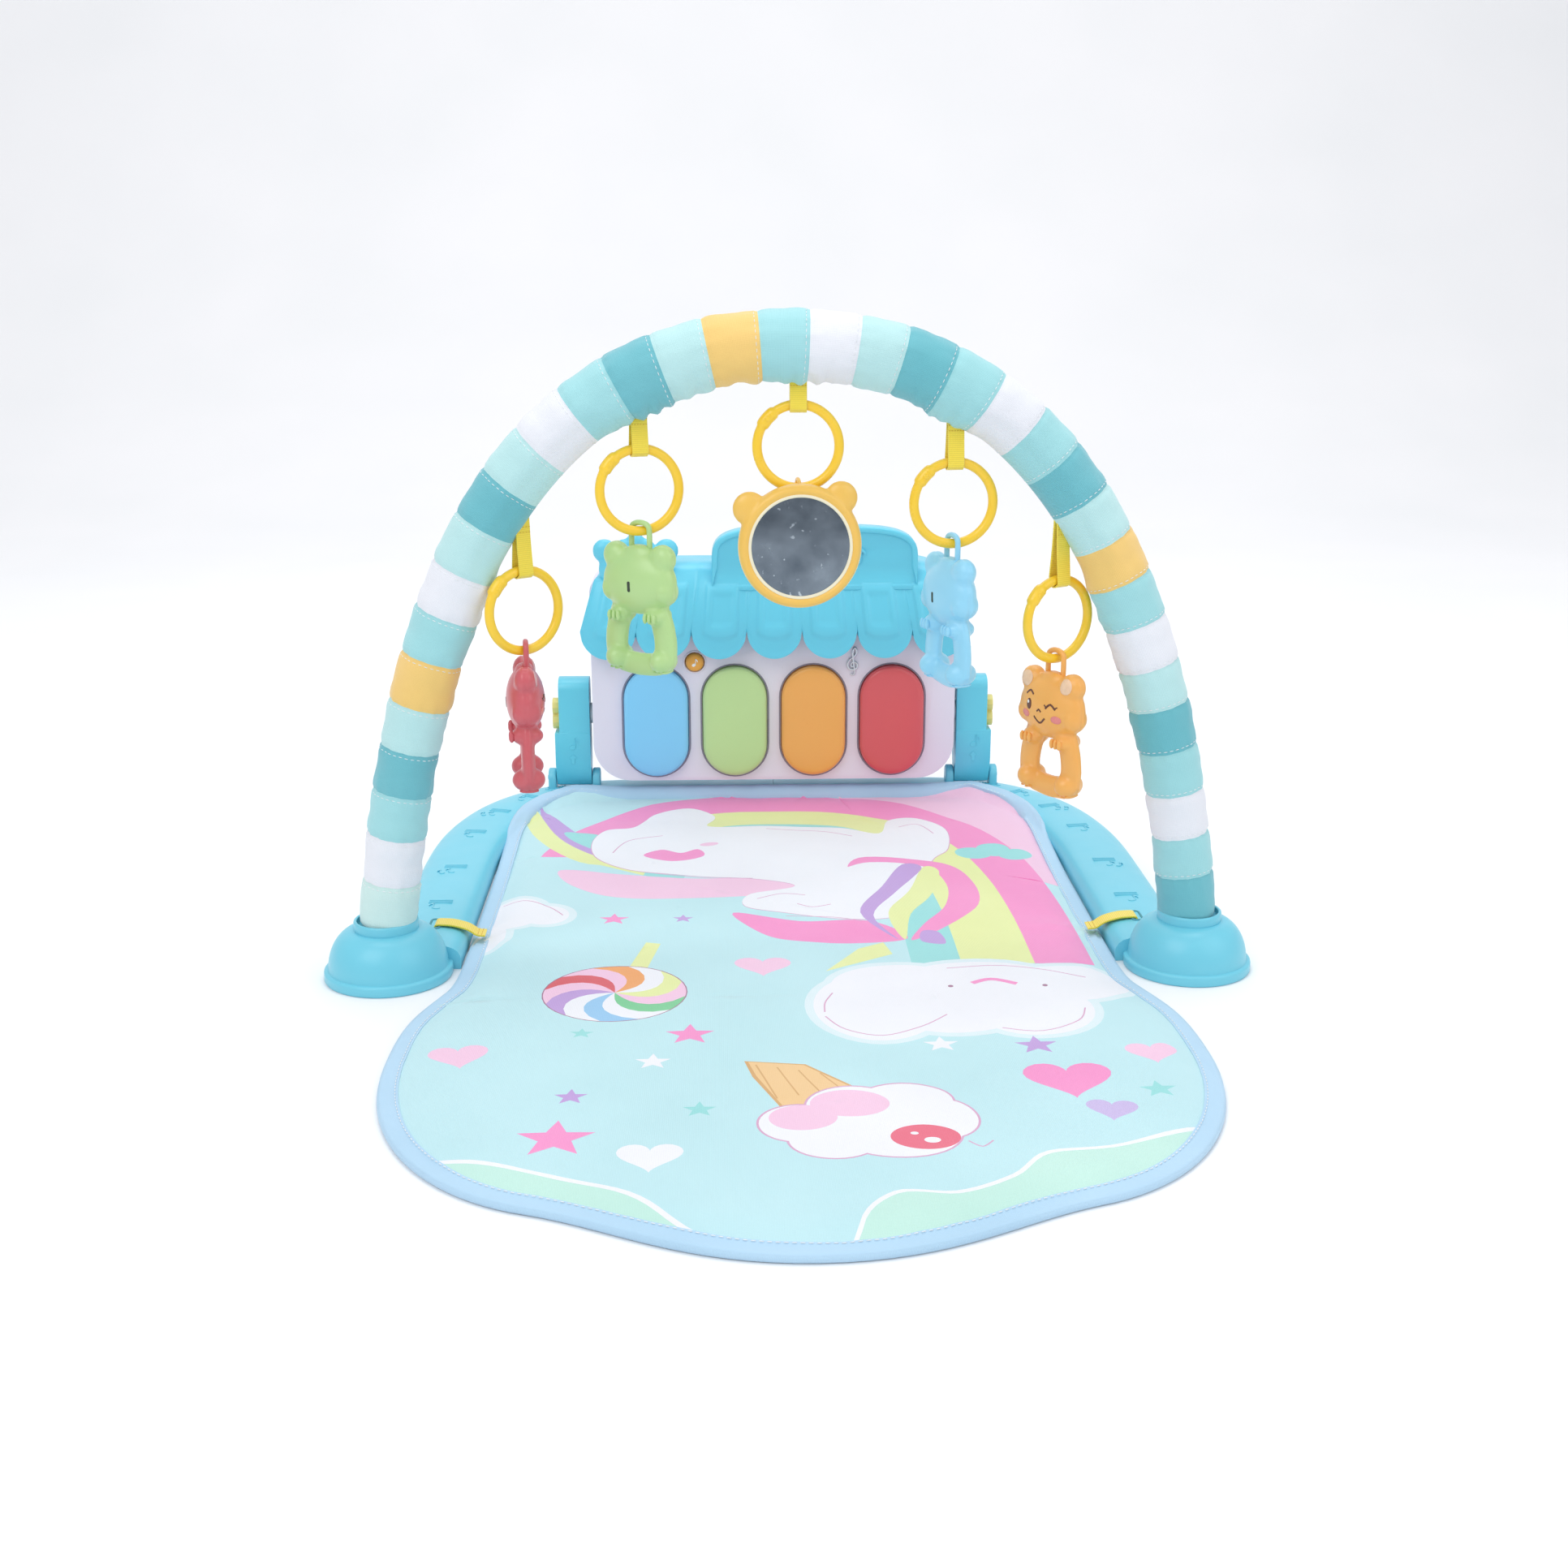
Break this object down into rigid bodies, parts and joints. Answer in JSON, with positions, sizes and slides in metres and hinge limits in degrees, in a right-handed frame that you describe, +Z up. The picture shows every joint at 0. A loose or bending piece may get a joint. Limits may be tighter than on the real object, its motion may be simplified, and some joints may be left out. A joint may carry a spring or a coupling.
{
  "type": "activity play gym",
  "caption": "Padded baby play mat in a floor frame, with a padded toy arch across it and a tilting kick piano on two posts at its end.",
  "frame": {"origin": "on the floor under the middle of the footprint, midway between the front of the mat and the back of the cross bar", "axes": "+Z up, +Y from the open front of the mat towards the kick piano, +X to the right seen from the front of the mat"},
  "size_m": [0.558, 0.726, 0.387],
  "materials": {
    "turquoise_plastic": "satin moulded plastic",
    "white_plastic": "satin moulded plastic",
    "tube_plastic": "extruded plastic",
    "sleeve_fabric": "striped woven polyester",
    "webbing": "satin woven webbing",
    "yellow_plastic": "glossy moulded plastic",
    "red_plastic": "satin moulded plastic",
    "green_plastic": "satin moulded plastic",
    "blue_plastic": "satin moulded plastic",
    "orange_plastic": "satin moulded plastic",
    "amber_plastic": "satin moulded plastic",
    "silver_plastic": "metallised plastic",
    "mirror": "polished acrylic mirror",
    "circuit_board": "printed circuit laminate",
    "rubber": "moulded rubber",
    "battery": "wrapped steel can",
    "mat_fabric": "printed padded polyester"
  },
  "bodies": {
    "base": {"base_leg_left": "turquoise_plastic", "base_leg_right": "turquoise_plastic", "base_link": "white_plastic", "foot_dome_left": "turquoise_plastic", "foot_dome_right": "turquoise_plastic", "arch_tube_left": "tube_plastic", "arch_tube_right": "tube_plastic", "arch_ferrule": "white_plastic", "arch_sleeve": "sleeve_fabric", "hang_loop_1": "webbing", "hang_loop_2": "webbing", "hang_loop_3": "webbing", "hang_loop_4": "webbing", "hang_loop_5": "webbing", "play_mat": "mat_fabric", "mat_strap_left": "webbing", "mat_strap_right": "webbing"},
    "stand": {"upright_left": "turquoise_plastic", "upright_right": "turquoise_plastic", "pivot_washer_left": "white_plastic", "pivot_washer_right": "white_plastic"},
    "piano": {"piano_front": "white_plastic", "piano_back": "white_plastic", "piano_roof": "turquoise_plastic", "key_pad": "rubber", "clef_badge": "silver_plastic", "circuit_board": "circuit_board", "speaker": "rubber", "battery_door": "white_plastic", "battery_cell_1": "battery", "battery_cell_2": "battery", "battery_cell_3": "battery"},
    "knob_left": {"knob_left": "yellow_plastic"},
    "knob_right": {"knob_right": "yellow_plastic"},
    "key_blue": {"key_blue": "blue_plastic"},
    "key_green": {"key_green": "green_plastic"},
    "key_orange": {"key_orange": "orange_plastic"},
    "key_red": {"key_red": "red_plastic"},
    "mode_button": {"mode_button": "orange_plastic"},
    "power_switch": {"power_switch": "rubber"},
    "ring_1": {"ring_1": "yellow_plastic"},
    "toy_red": {"rattle_front_1": "red_plastic", "rattle_back_1": "red_plastic", "bead_1": "white_plastic"},
    "ring_2": {"ring_2": "yellow_plastic"},
    "toy_green": {"rattle_front_2": "green_plastic", "rattle_back_2": "green_plastic", "bead_2": "white_plastic"},
    "ring_3": {"ring_3": "yellow_plastic"},
    "toy_mirror": {"mirror_frame": "amber_plastic", "mirror_back": "amber_plastic", "mirror_glass": "mirror"},
    "ring_4": {"ring_4": "yellow_plastic"},
    "toy_blue": {"rattle_front_4": "blue_plastic", "rattle_back_4": "blue_plastic", "bead_4": "white_plastic"},
    "ring_5": {"ring_5": "yellow_plastic"},
    "toy_orange": {"rattle_front_5": "orange_plastic", "rattle_back_5": "orange_plastic", "bead_5": "white_plastic"}
  },
  "joints": [
    {"name": "stand_fold", "type": "hinge", "parent": "base", "child": "stand", "pos_m": [0, 0.334, 0.023], "axis": [-1, 0, 0], "range_deg": [0, 26]},
    {"name": "piano_tilt", "type": "hinge", "parent": "stand", "child": "piano", "pos_m": [0, 0.334, 0.0745], "axis": [-1, 0, 0], "range_deg": [-25, 30]},
    {"name": "knob_left_turn", "type": "hinge", "parent": "stand", "child": "knob_left", "pos_m": [-0.165, 0.334, 0.0745], "axis": [-1, 0, 0], "continuous": true},
    {"name": "knob_right_turn", "type": "hinge", "parent": "stand", "child": "knob_right", "pos_m": [0.165, 0.334, 0.0745], "axis": [1, 0, 0], "continuous": true},
    {"name": "key_blue_press", "type": "slide", "parent": "piano", "child": "key_blue", "axis": [0, 1, 0], "range_m": [0, 0.003], "stiffness_N_per_m": 500, "springref_m": -0.002},
    {"name": "key_green_press", "type": "slide", "parent": "piano", "child": "key_green", "axis": [0, 1, 0], "range_m": [0, 0.003], "stiffness_N_per_m": 500, "springref_m": -0.002},
    {"name": "key_orange_press", "type": "slide", "parent": "piano", "child": "key_orange", "axis": [0, 1, 0], "range_m": [0, 0.003], "stiffness_N_per_m": 500, "springref_m": -0.002},
    {"name": "key_red_press", "type": "slide", "parent": "piano", "child": "key_red", "axis": [0, 1, 0], "range_m": [0, 0.003], "stiffness_N_per_m": 500, "springref_m": -0.002},
    {"name": "mode_button_press", "type": "slide", "parent": "piano", "child": "mode_button", "axis": [0, 1, 0], "range_m": [0, 0.002], "stiffness_N_per_m": 500, "springref_m": -0.001},
    {"name": "power_switch_slide", "type": "slide", "parent": "piano", "child": "power_switch", "axis": [1, 0, 0], "range_m": [0, 0.006]},
    {"name": "ring_swing_1", "type": "hinge", "parent": "base", "child": "ring_1", "pos_m": [-0.152, -0.021, 0.244], "axis": [0.788, 0.6157, 0], "range_deg": [-30, 12]},
    {"name": "toy_swing_1", "type": "hinge", "parent": "ring_1", "child": "toy_red", "pos_m": [-0.152, -0.021, 0.198], "axis": [0.788, 0.6157, 0], "range_deg": [-40, 40]},
    {"name": "ring_swing_2", "type": "hinge", "parent": "base", "child": "ring_2", "pos_m": [-0.085, -0.021, 0.312], "axis": [0.9511, 0.309, 0], "range_deg": [-35, 35]},
    {"name": "toy_swing_2", "type": "hinge", "parent": "ring_2", "child": "toy_green", "pos_m": [-0.085, -0.021, 0.266], "axis": [0.9511, 0.309, 0], "range_deg": [-40, 40]},
    {"name": "ring_swing_3", "type": "hinge", "parent": "base", "child": "ring_3", "pos_m": [0.004, -0.021, 0.336], "axis": [1, 0, 0], "range_deg": [-35, 35]},
    {"name": "toy_swing_3", "type": "hinge", "parent": "ring_3", "child": "toy_mirror", "pos_m": [0.004, -0.021, 0.29], "axis": [1, 0, 0], "range_deg": [-10, 40]},
    {"name": "ring_swing_4", "type": "hinge", "parent": "base", "child": "ring_4", "pos_m": [0.092, -0.021, 0.304], "axis": [0.9903, 0.1392, 0], "range_deg": [-35, 35]},
    {"name": "toy_swing_4", "type": "hinge", "parent": "ring_4", "child": "toy_blue", "pos_m": [0.092, -0.021, 0.258], "axis": [0.9903, 0.1392, 0], "range_deg": [-40, 40]},
    {"name": "ring_swing_5", "type": "hinge", "parent": "base", "child": "ring_5", "pos_m": [0.154, -0.021, 0.237], "axis": [0.848, 0.5299, 0], "range_deg": [-12, 30]},
    {"name": "toy_swing_5", "type": "hinge", "parent": "ring_5", "child": "toy_orange", "pos_m": [0.154, -0.021, 0.191], "axis": [0.848, 0.5299, 0], "range_deg": [-40, 40]}
  ]
}
